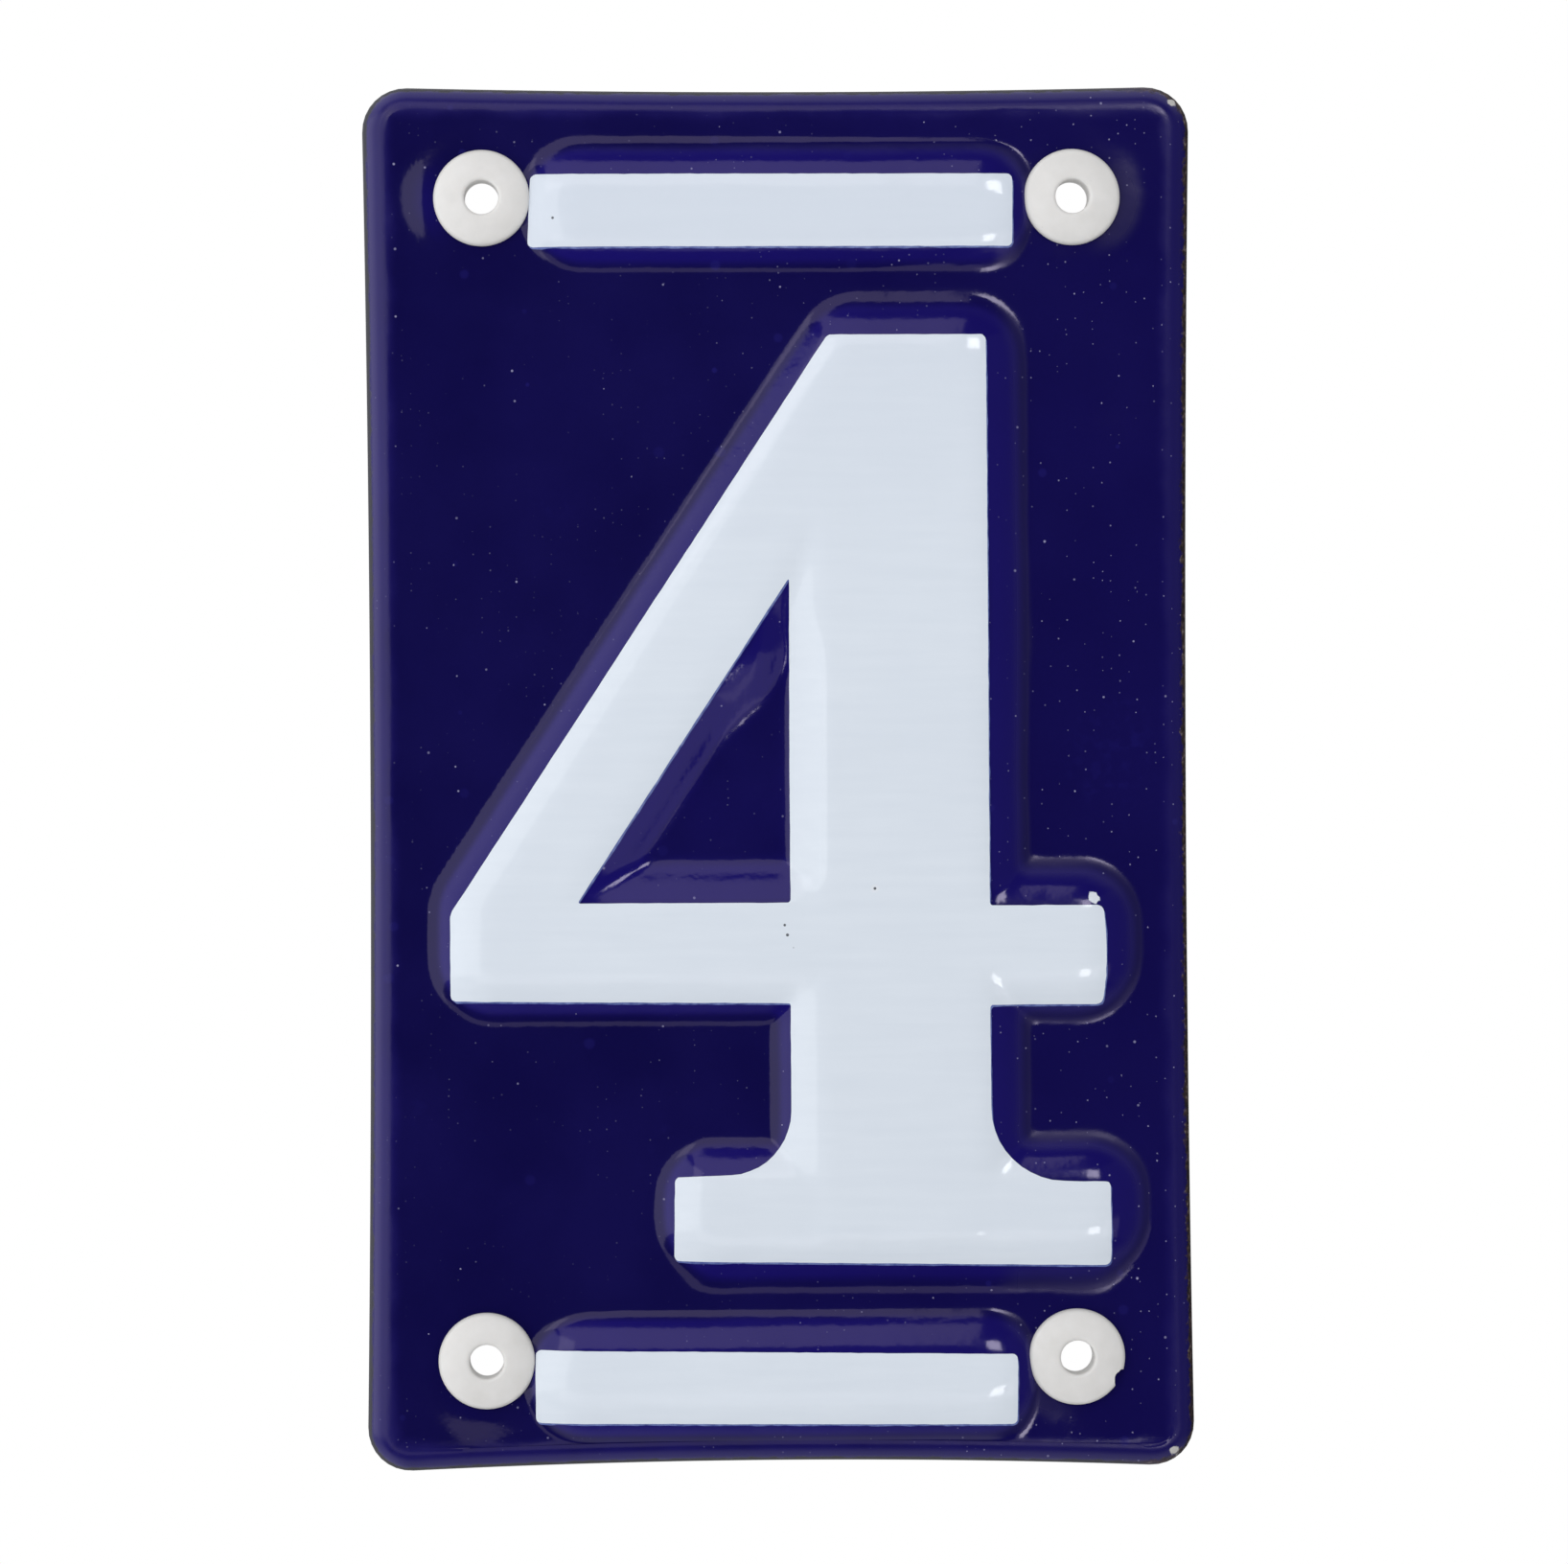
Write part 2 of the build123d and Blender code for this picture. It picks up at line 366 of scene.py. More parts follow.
# %% Waviness and swellings
hole_x, hole_z = 27 * mm, 53.1 * mm
holes = [(x, z) for z in (hole_z, -hole_z) for x in (-hole_x, hole_x)]
front_limit = -0.9 * field_depth
swelling_radius, swelling_width = 5.0 * mm, 1.8 * mm
swellings = [(0.36 * mm, 180), (0.13 * mm, -10), (0.22 * mm, -115), (0.12 * mm, -140)]  # height, side
least_swelling = 0.2
for wave_size, wave_height in ((14 * mm, 0.10 * mm), (4.5 * mm, 0.035 * mm)):
    waves = bpy.data.textures.new("enamel_waves", "CLOUDS")
    waves.noise_scale = wave_size
    modify(plate, "DISPLACE", texture=waves, texture_coords="LOCAL", direction="Y", strength=wave_height,
           mid_level=0.5, vertex_group="net")
for point in plate.data.vertices:
    for (x, z), (swelling, side) in zip(holes, swellings):
        away = math.hypot(point.co.x - x, point.co.z - z) - swelling_radius
        if point.co.y < front_limit and abs(away) < 3 * swelling_width:
            turned = math.atan2(point.co.z - z, point.co.x - x) - math.radians(side)
            share = least_swelling + (1 - least_swelling) * max(0, math.cos(turned)) ** 2
            point.co.y -= swelling * share * math.exp(-(away / swelling_width) ** 2)
print("depth in mm:", round(plate.dimensions.y / mm, 2))

# %% [markdown]
# The edges of the rim at the wall are rounded, and the four holes are cut with one Boolean. Its tool is
# a single object with a cylinder for each hole.

# %% Rim and holes
rim_round, sharp_angle = 0.2 * mm, 1.0
hole_radius, hole_steps = 2.6 * mm, 48


def punch_at(x, z):
    bpy.ops.mesh.primitive_cylinder_add(vertices=hole_steps, radius=hole_radius, depth=4 * field_depth,
                                        location=(x, 0, z), rotation=(math.pi / 2, 0, 0))


def sharp_at_wall(edge):
    return all(abs(end.co.y) < hair for end in edge.verts) and edge.calc_face_angle(0) > sharp_angle


edit(plate)
pick(plate, "EDGE", sharp_at_wall)
bpy.ops.mesh.bevel(offset=rim_round, segments=2, affect="EDGES")
select_only(plate)
bpy.ops.object.select_all(action="DESELECT")
punch_at(*holes[0])
punch = bpy.context.object
bpy.ops.object.mode_set(mode="EDIT")
for place in holes[1:]:
    punch_at(*place)
bpy.ops.object.mode_set(mode="OBJECT")
modify(plate, "BOOLEAN", object=punch, operation="DIFFERENCE", solver="EXACT")
bpy.data.objects.remove(punch)
print("plate triangles:", triangles(plate))

# %% [markdown]
# The white figure and bars are a second coat of enamel, put on through a stencil and fired, so they have
# an edge one can feel. A painted mask would blur when the model is exported, so each is a real thin
# piece, cut out with a prism of the stencil's shape. The prism starts as a circle with as many points as
# the outline has corners: they are moved into place, rounded, divided and shaken a little, because no
# stencil leaves a perfect edge.

# %% The stencil's prism
prism_start, prism_depth = -3 * mm, 5 * mm
longest_side = 1.3 * mm
wide_rounding = 2


def stencil(corners, roundings, wobble):
    """A prism through the plate's front: corners, their radii and the edge's unevenness are in mm."""
    bpy.ops.object.select_all(action="DESELECT")
    bpy.ops.mesh.primitive_circle_add(vertices=len(corners), fill_type="NGON")
    prism = bpy.context.object
    bpy.ops.object.mode_set(mode="EDIT")
    shape = bmesh.from_edit_mesh(prism.data)
    shape.verts.ensure_lookup_table()
    for vert, (x, z) in zip(shape.verts, corners):
        vert.co = (x * mm, prism_start, z * mm)
    bmesh.update_edit_mesh(prism.data)
    for (x, z), radius in zip(corners, roundings):
        place = Vector((x * mm, prism_start, z * mm))
        if radius and pick(prism, "VERT", lambda v: (v.co - place).length < hair):
            steps = 10 if radius > wide_rounding else 4
            bpy.ops.mesh.bevel(offset=radius * mm, segments=steps, affect="VERTICES")
    while pick(prism, "EDGE", lambda edge: edge.calc_length() > longest_side):
        bpy.ops.mesh.subdivide(number_cuts=1)
    bpy.ops.mesh.select_all(action="SELECT")
    bpy.ops.transform.vertex_random(offset=wobble * mm, seed=len(corners) + round(100 * wobble))
    bpy.ops.mesh.select_all(action="SELECT")
    bpy.ops.mesh.extrude_region_move(TRANSFORM_OT_translate={"value": (0, -prism_depth, 0)})
    bpy.ops.mesh.select_all(action="SELECT")
    bpy.ops.mesh.normals_make_consistent(inside=False)
    bpy.ops.object.mode_set(mode="OBJECT")
    return prism


# %% [markdown]
# The stencil sat a millimetre down and to the left of the pressed shapes, and so do its outlines. They
# are worked out in mm from the few lines that the figure's strokes share.

# %% The stencil's outlines
figure_top, figure_foot = 40.5, -44.7
apex_x, stem_left, stem_right = 4.5, 0.9, 19.1
tip_x, tip_top = -30.15, -12.3
arm_end, arm_top, arm_foot = 29.5, -11.7, -20.8
crossbar_foot = -20.35
serif_left, serif_right = -9.85, 30.05
shelf_left, shelf_right = -36.0, -36.75
figure_corners = [
    (apex_x, figure_top), (stem_right - 0.1, figure_top), (stem_right, arm_top), (arm_end, arm_top),
    (arm_end + 0.45, (arm_top + arm_foot) / 2), (arm_end, arm_foot), (stem_right, arm_foot),
    (stem_right + 0.1, shelf_right), (serif_right, shelf_right - 0.25), (serif_right + 0.1, figure_foot),
    (serif_left, figure_foot + 0.6), (serif_left + 0.1, shelf_left - 0.4), (stem_left, shelf_left),
    (stem_left, crossbar_foot - 0.2), (tip_x, crossbar_foot + 0.1), (tip_x, tip_top),
]
figure_roundings = [0.4, 0.5, 0.3, 0.6, 3.0, 0.6, 0.3, 6.5, 0.4, 0.6, 0.5, 0.5, 5.5, 0.3, 0.5, 0.4]
counter_top, counter_foot, counter_left = 18.3, -11.35, -18.55
counter_corners = [(stem_left, counter_top), (stem_left, counter_foot), (counter_left, counter_foot)]
bar_left, bar_right = -22.75, 21.5
upper_bar = [(bar_left + 0.2, 55.2), (bar_right, 55.2), (bar_right, 48.6), (bar_left - 0.1, 48.6)]
lower_bar = [(bar_left + 0.2, -52.1), (bar_right, -52.7), (bar_right, -59.2), (bar_left + 0.2, -58.8)]
bar_roundings = [0.5] * 4
outlines = {
    "figure": (figure_corners, figure_roundings, counter_corners),
    "upper_bar": (upper_bar, bar_roundings, []),
    "lower_bar": (lower_bar, bar_roundings, []),
}
print("outlines of", {name: len(line[0]) for name, line in outlines.items()}, "corners")

# %% [markdown]
# Each coat is a copy of the plate's front, given a coat's thickness and cut with Booleans, so it lies on
# every slope. The cut can leave folded slivers along the edge: faces on the same corners as another, or
# with an open side. They are taken off. A second, thinner and bluish coat, shifted down and to the right,
# shows as a narrow fringe below and to the right: it is painted shade along those edges of the white.

# %% The white coats
coat_thickness, coat_wobble = 0.2 * mm, 0.035
fringe_thickness, fringe_wobble, fringe_shift = 0.1 * mm, 0.06, (0.10, -0.18)
cut_margin = 1.5 * mm
counter_rounding = 0.3
coat_crease, plate_crease = math.radians(40), math.radians(50)


def corner_key(face):
    return frozenset(corner.index for corner in face.verts)


def cut(piece, operation, corners, roundings, wobble):
    prism = stencil(corners, roundings, wobble)
    modify(piece, "BOOLEAN", object=prism, operation=operation, solver="EXACT")
    bpy.data.objects.remove(prism)


def take_off_slivers(piece):
    """Deletes folded faces along a cut, and returns how many there were."""
    edit(piece)
    bpy.ops.mesh.select_all(action="SELECT")
    bpy.ops.mesh.quads_convert_to_tris()
    shape = bmesh.from_edit_mesh(piece.data)
    shape.verts.index_update()
    at_corners = Counter(corner_key(face) for face in shape.faces)
    folded = pick(piece, "FACE", lambda face: at_corners[corner_key(face)] > 1
                  or any(edge.is_boundary for edge in face.edges))
    bpy.ops.mesh.delete(type="FACE")
    return folded


def coat_from_front(name, corners, roundings, opening, thickness, wobble, shift=(0, 0)):
    """Cuts one coat from a copy of the plate's front; it makes the white coats and the painted-shade fringes.
    """
    corners, opening = ([(x + shift[0], z + shift[1]) for x, z in line] for line in (corners, opening))
    coat = plate.copy()
    coat.data = plate.data.copy()
    coat.name = coat.data.name = name
    bpy.context.scene.collection.objects.link(coat)
    left, low = (min(line) * mm - cut_margin for line in zip(*corners))
    right, high = (max(line) * mm + cut_margin for line in zip(*corners))

    def off_the_front(face):
        middle = face.calc_center_median()
        inside = left < middle.x < right and low < middle.z < high
        return not inside or on_back(face, weights)

    edit(coat)
    weights = bmesh.from_edit_mesh(coat.data).verts.layers.deform.active
    pick(coat, "FACE", off_the_front)
    bpy.ops.mesh.delete(type="FACE")
    modify(coat, "SOLIDIFY", thickness=thickness, offset=0, use_even_offset=True)
    cut(coat, "INTERSECT", corners, roundings, wobble)
    if opening:
        cut(coat, "DIFFERENCE", opening, [counter_rounding] * len(opening), wobble)
    folded = take_off_slivers(coat)
    select_only(coat)
    bpy.ops.object.shade_smooth_by_angle(angle=coat_crease)
    print(name, triangles(coat), "triangles, after", folded, "folded slivers were taken off its edge")
    return coat


white_pieces = [coat_from_front("white_" + name, *line, coat_thickness, coat_wobble)
                for name, line in outlines.items()]
# The fringes are painted shade along the lower and right edges of the white.
fringes = [coat_from_front("fringe_" + name, *line, fringe_thickness, fringe_wobble, fringe_shift)
           for name, line in outlines.items()]
select_only(plate)
bpy.ops.object.shade_smooth_by_angle(angle=plate_crease)

# %% [markdown]
# Each corner has a white nylon bush: a low domed head on the plate, a barrel through the hole and a bore
# for the screw. It is a turned shape, so its half profile is drawn once, its corners are rounded with a
# vertex bevel, and it is spun round the bore.

# %% One bush, spun from its profile
bush_bore, bush_barrel, bush_head = 3.1 * mm, 5.0 * mm, 8.8 * mm
bush_height, rim_height, bush_tail = 1.5 * mm, 0.8 * mm, 1.0 * mm
dome_radius, dome_fall = bush_head * 0.33, 0.12 * mm
rounding_steps, spin_steps = 5, 96

# Radius, height over the field and, in mm, the rounding of each corner.
profile = [
    (bush_bore / 2, -sheet_thickness - bush_tail, 0.15),
    (bush_barrel / 2, -sheet_thickness - bush_tail, 0.3),
    (bush_barrel / 2, 0, 0),
    (bush_head / 2, 0, 0.12),
    (bush_head / 2, rim_height, 0.45),
    (dome_radius, bush_height - dome_fall, 0.8),
    (bush_bore / 2, bush_height, 0.35),
]
bpy.ops.object.select_all(action="DESELECT")
bpy.ops.mesh.primitive_circle_add(vertices=len(profile), fill_type="NGON")
bush = bpy.context.object
bush.name = bush.data.name = "nylon_bush_upper_left"
bpy.ops.object.mode_set(mode="EDIT")
shape = bmesh.from_edit_mesh(bush.data)
shape.verts.ensure_lookup_table()
first_x, first_z = holes[0]
corner_places = []
for vert, (radius, height, rounding) in zip(shape.verts, profile):
    vert.co = (first_x + radius, -field_depth - height, first_z)
    corner_places.append((vert.co.copy(), rounding * mm))
bmesh.update_edit_mesh(bush.data)
for place, rounding in corner_places:
    if rounding and pick(bush, "VERT", lambda v: (v.co - place).length < hair):
        bpy.ops.mesh.bevel(offset=rounding, segments=rounding_steps, affect="VERTICES")
bpy.ops.mesh.select_all(action="SELECT")
bpy.ops.mesh.delete(type="ONLY_FACE")
bpy.ops.mesh.select_all(action="SELECT")
bpy.ops.mesh.spin(steps=spin_steps, angle=2 * math.pi, center=(first_x, 0, first_z), axis=(0, 1, 0))
bpy.ops.mesh.select_all(action="SELECT")
bpy.ops.mesh.remove_doubles(threshold=hair)
bpy.ops.mesh.normals_make_consistent(inside=False)
select_only(bush)
bpy.ops.object.shade_smooth_by_angle(angle=coat_crease)
print("bush triangles:", triangles(bush))

# %% [markdown]
# The other three bushes are copies, each with its own mesh. The lower right one has lost a piece of its
# rim: a rough lump, a sphere that is stretched and shaken, is cut away there.

# %% Its three copies, and the broken rim
chip_angle, chip_reach = math.radians(-27), 4.6 * mm
chip_radius, chip_height, chip_rough = 0.85 * mm, 0.5 * mm, 0.07 * mm
chip_stretch = (0.9, 2.0, 1.1)

bushes = [bush]
for (x, z), corner in zip(holes[1:], ("upper_right", "lower_left", "lower_right")):
    copy = bush.copy()
    copy.data = bush.data.copy()
    copy.name = copy.data.name = "nylon_bush_" + corner
    bpy.context.scene.collection.objects.link(copy)
    copy.location = (x - first_x, 0, z - first_z)
    select_only(copy)
    bpy.ops.object.transform_apply(location=True)
    bushes.append(copy)

broken_bush = bushes[3]
broken_x, broken_z = holes[3]
bpy.ops.object.select_all(action="DESELECT")
bpy.ops.mesh.primitive_ico_sphere_add(
    subdivisions=3, radius=chip_radius,
    location=(broken_x + chip_reach * math.cos(chip_angle), -field_depth - chip_height,
              broken_z + chip_reach * math.sin(chip_angle)))
break_tool = bpy.context.object
break_tool.scale = chip_stretch
bpy.ops.object.transform_apply(location=True, rotation=True, scale=True)
edit(break_tool)
bpy.ops.mesh.select_all(action="SELECT")
bpy.ops.transform.vertex_random(offset=chip_rough, seed=4)
modify(broken_bush, "BOOLEAN", object=break_tool, operation="DIFFERENCE", solver="EXACT")
bpy.data.objects.remove(break_tool)
print([(piece.name, triangles(piece)) for piece in bushes])

# %% [markdown]
# Materials are written as expressions. A small class wraps the output of a shader node, so that
# arithmetic on it adds Math nodes, and its methods add the others. Patterns read Object coordinates in
# millimetres, so a speck has the same size everywhere and stays with the piece when it is exported.

# %% A class for shader expressions


class Value:
    """One output of a shader node; arithmetic on it adds Math nodes to its material."""

    def __init__(self, socket):
        self.socket = socket
        self.tree = socket.id_data

    def node(self, kind, settings, inputs, output=0):
        """Adds a node, sets it, then sets or links its inputs, and returns one of its outputs."""
        node = self.tree.nodes.new(kind)
        for name, setting in settings.items():
            setattr(node, name, setting)
        for name, value in inputs.items():
            socket = node.inputs[name]
            if isinstance(value, Value):
                self.tree.links.new(value.socket, socket)
            elif socket.type == "RGBA":
                socket.default_value = (*value, 1)
            else:
                socket.default_value = value
        return Value(node.outputs[output])

    def math(self, operation, first, second=0.0):
        return self.node("ShaderNodeMath", {"operation": operation}, {0: first, 1: second})

    def __add__(self, other):
        return self.math("ADD", self, other)

    def __sub__(self, other):
        return self.math("SUBTRACT", self, other)

    def __rsub__(self, other):
        return self.math("SUBTRACT", other, self)

    def __mul__(self, other):
        return self.math("MULTIPLY", self, other)

    def __truediv__(self, other):
        return self.math("DIVIDE", self, other)

    __radd__ = __add__
    __rmul__ = __mul__

    def step(self, low, high):
        """Rises smoothly from 0 at low to 1 at high."""
        return self.node("ShaderNodeMapRange", {"interpolation_type": "SMOOTHSTEP"},
                         {"Value": self, "From Min": low, "From Max": high})

    def vector(self, operation, other, output=0):
        return self.node("ShaderNodeVectorMath", {"operation": operation}, {0: self, 1: other}, output)

    def axis(self, number):
        """One coordinate of a place: 0 for x, 1 for y, 2 for z."""
        return self.node("ShaderNodeSeparateXYZ", {}, {0: self}, number)

    def noise(self, scale, detail=2.0, roughness=0.5):
        return self.node("ShaderNodeTexNoise", {}, {"Vector": self, "Scale": scale, "Detail": detail,
                                                    "Roughness": roughness})

    def gradient(self, *stops):
        """A colour that follows this value, from stops of a position and a colour each."""
        colour = self.node("ShaderNodeValToRGB", {}, {0: self})
        elements = colour.socket.node.color_ramp.elements
        while len(elements) < len(stops):
            elements.new(0.5)
        for element, (position, shade) in zip(elements, stops):
            element.position, element.color = position, (*shade, 1)
        return colour

    def paint(self, mask, colour):
        """Lays a colour over this one where the mask is 1."""
        return self.node("ShaderNodeMix", {"data_type": "RGBA"}, {0: mask, 6: self, 7: colour}, 2)

    def near(self, x, z, reach, ragged=0.0):
        """1 within a reach in mm of a place on the front, with a ragged edge if asked."""
        away = self.vector("MULTIPLY", (1, 0, 1)).vector("DISTANCE", (x, 0, z), 1)
        if ragged:
            away = away + (self.noise(1.6) - 0.5) * ragged
        return 1 - away.step(reach * 0.75, reach * 1.15)

    def specks(self, spacing, size, share):
        """Round specks of up to this size in mm, one in some of the cells of this spacing."""
        flat = self.node("ShaderNodeCombineXYZ", {}, {0: self.axis(0), 1: self.axis(2)})
        cells = {"Vector": flat, "Scale": 1 / spacing}
        away, colour = (self.node("ShaderNodeTexVoronoi", {"voronoi_dimensions": "2D"}, cells, output)
                        for output in range(2))
        chance, width, depth = (self.node("ShaderNodeSeparateColor", {}, {0: colour}, output)
                                for output in range(3))
        reach = size * (0.35 + 0.65 * width)
        shown = chance.math("LESS_THAN", chance, share) * (0.3 + 0.7 * depth)
        return (1 - (away * spacing / reach).step(0.6, 1.2)) * shown


def finish(name, **sockets):
    """A new material with these constants on its shader; returns it, the shader and the place in mm."""
    material = bpy.data.materials.new(name)
    material.use_nodes = True
    tree = material.node_tree
    shader = tree.nodes["Principled BSDF"]
    for socket, value in sockets.items():
        shader.inputs[socket.replace("_", " ")].default_value = value
    place = Value(tree.nodes.new("ShaderNodeTexCoord").outputs["Object"])
    place = place.node("ShaderNodeVectorMath", {"operation": "SCALE"}, {0: place, "Scale": 1 / mm})
    return material, shader, place


def connect(shader, **values):
    for socket, value in values.items():
        shader.id_data.links.new(value.socket, shader.inputs[socket.replace("_", " ")])


def bump(height, distance):
    return height.node("ShaderNodeBump", {}, {"Height": height, "Distance": distance, "Strength": 1.0})


def report(material):
    print(material.name, "has", len(material.node_tree.nodes), "nodes")


# %% [markdown]
# The blue enamel is a deep navy glass with slightly lighter clouds and blots. It is bluer on the slopes of
# the relief and over the rolled edge, partly because the enamel is thinner there and partly as painted
# light, for the side light that those slopes catch. Firing left tiny pale specks, which crowd together
# towards the right.

# %% Blue enamel: colour
navy, light_navy = (0.0046, 0.0033, 0.057), (0.0064, 0.0047, 0.070)
patch_blue, blot_blue = (0.012, 0.010, 0.13), (0.016, 0.013, 0.16)
# The first colour is the lighter blue of slopes and roll: partly thinner enamel, partly painted side light.
thin_lit_blue, right_blue = (0.0098, 0.0058, 0.146), (0.0072, 0.0044, 0.088)
speck_grey = (0.30, 0.29, 0.48)

blue_enamel, blue_shader, place = finish("blue_enamel", IOR=1.5, Specular_Tint=(0.88, 0.80, 1.0, 1))
x_mm, y_mm, z_mm = (place.axis(number) for number in range(3))
beside, above, forward = x_mm.math("ABSOLUTE", x_mm), z_mm.math("ABSOLUTE", z_mm), -1 * y_mm
drift = (place.noise(0.22, detail=3) - 0.5) * 1.6
roll = place.math("MAXIMUM", (beside + drift).step(34.6, 36.2), (above + drift).step(60.0, 61.8))
slope = forward.step(4.15, 4.55) * (1 - forward.step(5.45, 5.75))
right_side = x_mm.step(-20, 38)
clouds = place.noise(0.09, detail=3)
patches = place.noise(0.05, detail=4, roughness=0.6).step(0.62, 0.75) * place.noise(1.1).step(0.45, 0.7)
crowded = place.math("MAXIMUM", place.noise(0.12).step(0.38, 0.62), x_mm.step(19, 25) * 0.9)
blots = place.specks(spacing=6.0, size=0.55, share=0.25)
dust = place.specks(spacing=0.8, size=0.085, share=0.14)
specks = place.specks(spacing=2.7, size=0.13, share=0.13) + dust * crowded * (0.3 + 0.7 * right_side)

colour = clouds.gradient((0.35, navy), (0.65, light_navy)).paint(patches * 0.5, patch_blue)
# Lighter blue on the slopes and the roll: partly thinner enamel, partly painted side light.
colour = colour.paint((slope + roll * 0.7) * (0.6 + 0.4 * clouds), thin_lit_blue)
colour = colour.paint(right_side * 0.45, right_blue)
colour = colour.paint(blots * 0.45, blot_blue).paint(specks * 0.85, speck_grey)
report(blue_enamel)

# %% [markdown]
# Round the rolled edge the coat thins out to a burnt grey line, which is rusty and speckled on the
# right. Pale spots at the two right corners are painted highlights, and so is a bluish white spot just
# above the arm's end. All of that is duller than the glass, and so are the roll and the foot of the
# relief on the right.

# %% Blue enamel: wear, painted highlights and gloss
# Of these colours, the two pale whites are painted highlights.
burnt_grey, corner_glint_white, arm_glint_white = (0.030, 0.034, 0.030), (0.55, 0.54, 0.52), (0.72, 0.77, 0.84)
rust_dark, rust_brown, rust_pale = (0.011, 0.008, 0.010), (0.050, 0.029, 0.020), (0.20, 0.165, 0.15)

at_right = x_mm.step(30, 36)
burnt = (y_mm + (place.noise(0.9, detail=3) - 0.5) * 0.7).step(-3.3, -3.0) * (1 - at_right)
rust_edge = place.noise(1.4, detail=4, roughness=0.7) - 0.5
rust = (y_mm + rust_edge * 1.6).step(-3.45, -3.1) * at_right
rusty = place.noise(2.2, detail=3).gradient((0.38, rust_dark), (0.58, rust_brown), (0.74, rust_pale))
# Pale spots at the two right corners: painted highlights.
corner_glints = place.near(36.3, 61.8, 0.40, ragged=0.7) + place.near(35.95, -61.9, 0.45, ragged=0.8)
# A bluish white spot just above the arm's end: a painted highlight.
arm_glint = place.near(28.75, -11.0, 0.55, ragged=0.8)
wear_and_glints = burnt + rust + corner_glints
right_foot = x_mm.step(19, 22) * forward.step(4.02, 4.1) * (1 - forward.step(4.5, 4.9))

colour = colour.paint(burnt * 0.9, burnt_grey).paint(rust, rusty)
colour = colour.paint(corner_glints, corner_glint_white).paint(arm_glint.step(0.1, 0.8), arm_glint_white)
dullness = roll * 0.16 + right_foot * 0.2 + wear_and_glints.step(0.2, 1.0) * 0.35
ripples = place.noise(0.55) * 0.7 + place.noise(1.3) * 0.25
texture = ripples + specks * 0.3 + wear_and_glints * place.noise(3.0, detail=3) * 0.6
connect(blue_shader, Base_Color=colour, Roughness=0.07 + place.noise(0.15) * 0.05 + dullness,
        Normal=bump(texture, 0.02 * mm))
report(blue_enamel)

# %% [markdown]
# The back only has the dark ground coat, dull and speckled, which every enamelled sheet gets first. It
# turns brown at the rim.

# %% Ground coat
ground_dark, ground_light = (0.016, 0.017, 0.024), (0.032, 0.033, 0.042)
ground_speck, ground_rust = (0.10, 0.10, 0.11), (0.06, 0.035, 0.022)

ground_coat, shader, place = finish("ground_coat", IOR=1.5)
clouds = place.noise(0.12, detail=4, roughness=0.6)
specks = place.specks(spacing=1.4, size=0.16, share=0.25)
edge = (place.axis(1) + (place.noise(1.2, detail=4) - 0.5) * 0.6).step(-0.45, -0.1)
colour = clouds.gradient((0.35, ground_dark), (0.65, ground_light))
colour = colour.paint(specks * 0.5, ground_speck).paint(edge * 0.8, ground_rust)
connect(shader, Base_Color=colour, Roughness=0.22 + clouds * 0.25 + edge * 0.2,
        Normal=bump(place.noise(0.9, detail=3) + specks * 0.4, 0.03 * mm))
report(ground_coat)

# %% [markdown]
# The white enamel is a cool, slightly lilac white, painted a little greyer towards the top as painted
# shade. It has faint level streaks and a few pinholes where the ground shows through, one of them with a
# pale ring.

# %% White enamel
streak_dark, streak_light = (0.703, 0.768, 0.848), (0.726, 0.790, 0.868)
# The second of these whites is painted shade, greyer, for the upper part of the white.
cloud_white, upper_shade_white = (0.685, 0.748, 0.832), (0.645, 0.708, 0.805)
ring_white, pinhole_black = (0.80, 0.82, 0.86), (0.02, 0.02, 0.03)
pinholes = [(8.6, -10.1, 0.13), (0.35, -13.4, 0.12), (0.6, -14.3, 0.14), (-20.5, 51.2, 0.12)]  # x, z, reach
ringed_x, ringed_z, _ = pinholes[0]

white_enamel, shader, place = finish("white_enamel", IOR=1.5)
streaks = place.vector("MULTIPLY", (0.12, 1, 1.3)).noise(0.9, detail=3)
clouds = place.noise(0.08, detail=3)
upper = place.axis(2).step(10, 56)
pits = place.specks(spacing=12.0, size=0.08, share=0.12)
for x, z, reach in pinholes:
    pits = pits + place.near(x, z, reach)
colour = streaks.gradient((0.3, streak_dark), (0.7, streak_light))
# Greyer towards the top: this is painted shade.
colour = colour.paint(clouds.step(0.45, 0.7) * 0.35, cloud_white).paint(upper * 0.6, upper_shade_white)
colour = colour.paint(place.near(ringed_x, ringed_z, 0.4) * 0.35, ring_white)
colour = colour.paint(pits.step(0.1, 0.6) * 0.85, pinhole_black)
connect(shader, Base_Color=colour, Roughness=0.06 + streaks * 0.05,
        Normal=bump(streaks * 0.5 + place.noise(0.5) - pits * 1.5, 0.012 * mm))
report(white_enamel)

# %% [markdown]
# The fringe's colour is painted shade: an uneven bluish grey between the white and the blue.

# %% The fringe
shade_dark_blue, shade_light_blue = (0.060, 0.085, 0.30), (0.17, 0.22, 0.50)

fringe_shade, shader, place = finish("fringe_shade", IOR=1.5)
shade_mottle = place.noise(1.5, detail=3)
# Painted shade: an uneven bluish grey for the fringe.
connect(shader, Base_Color=shade_mottle.gradient((0.3, shade_dark_blue), (0.7, shade_light_blue)), Roughness=0.1 + shade_mottle * 0.1)
report(fringe_shade)

# %% [markdown]
# The bushes are moulded nylon: a warm white, satin, with a little light going through, a faint mottle
# and a few small dark specks.

# %% Nylon
nylon_dark, nylon_light, nylon_speck = (0.705, 0.70, 0.685), (0.755, 0.75, 0.74), (0.45, 0.42, 0.40)

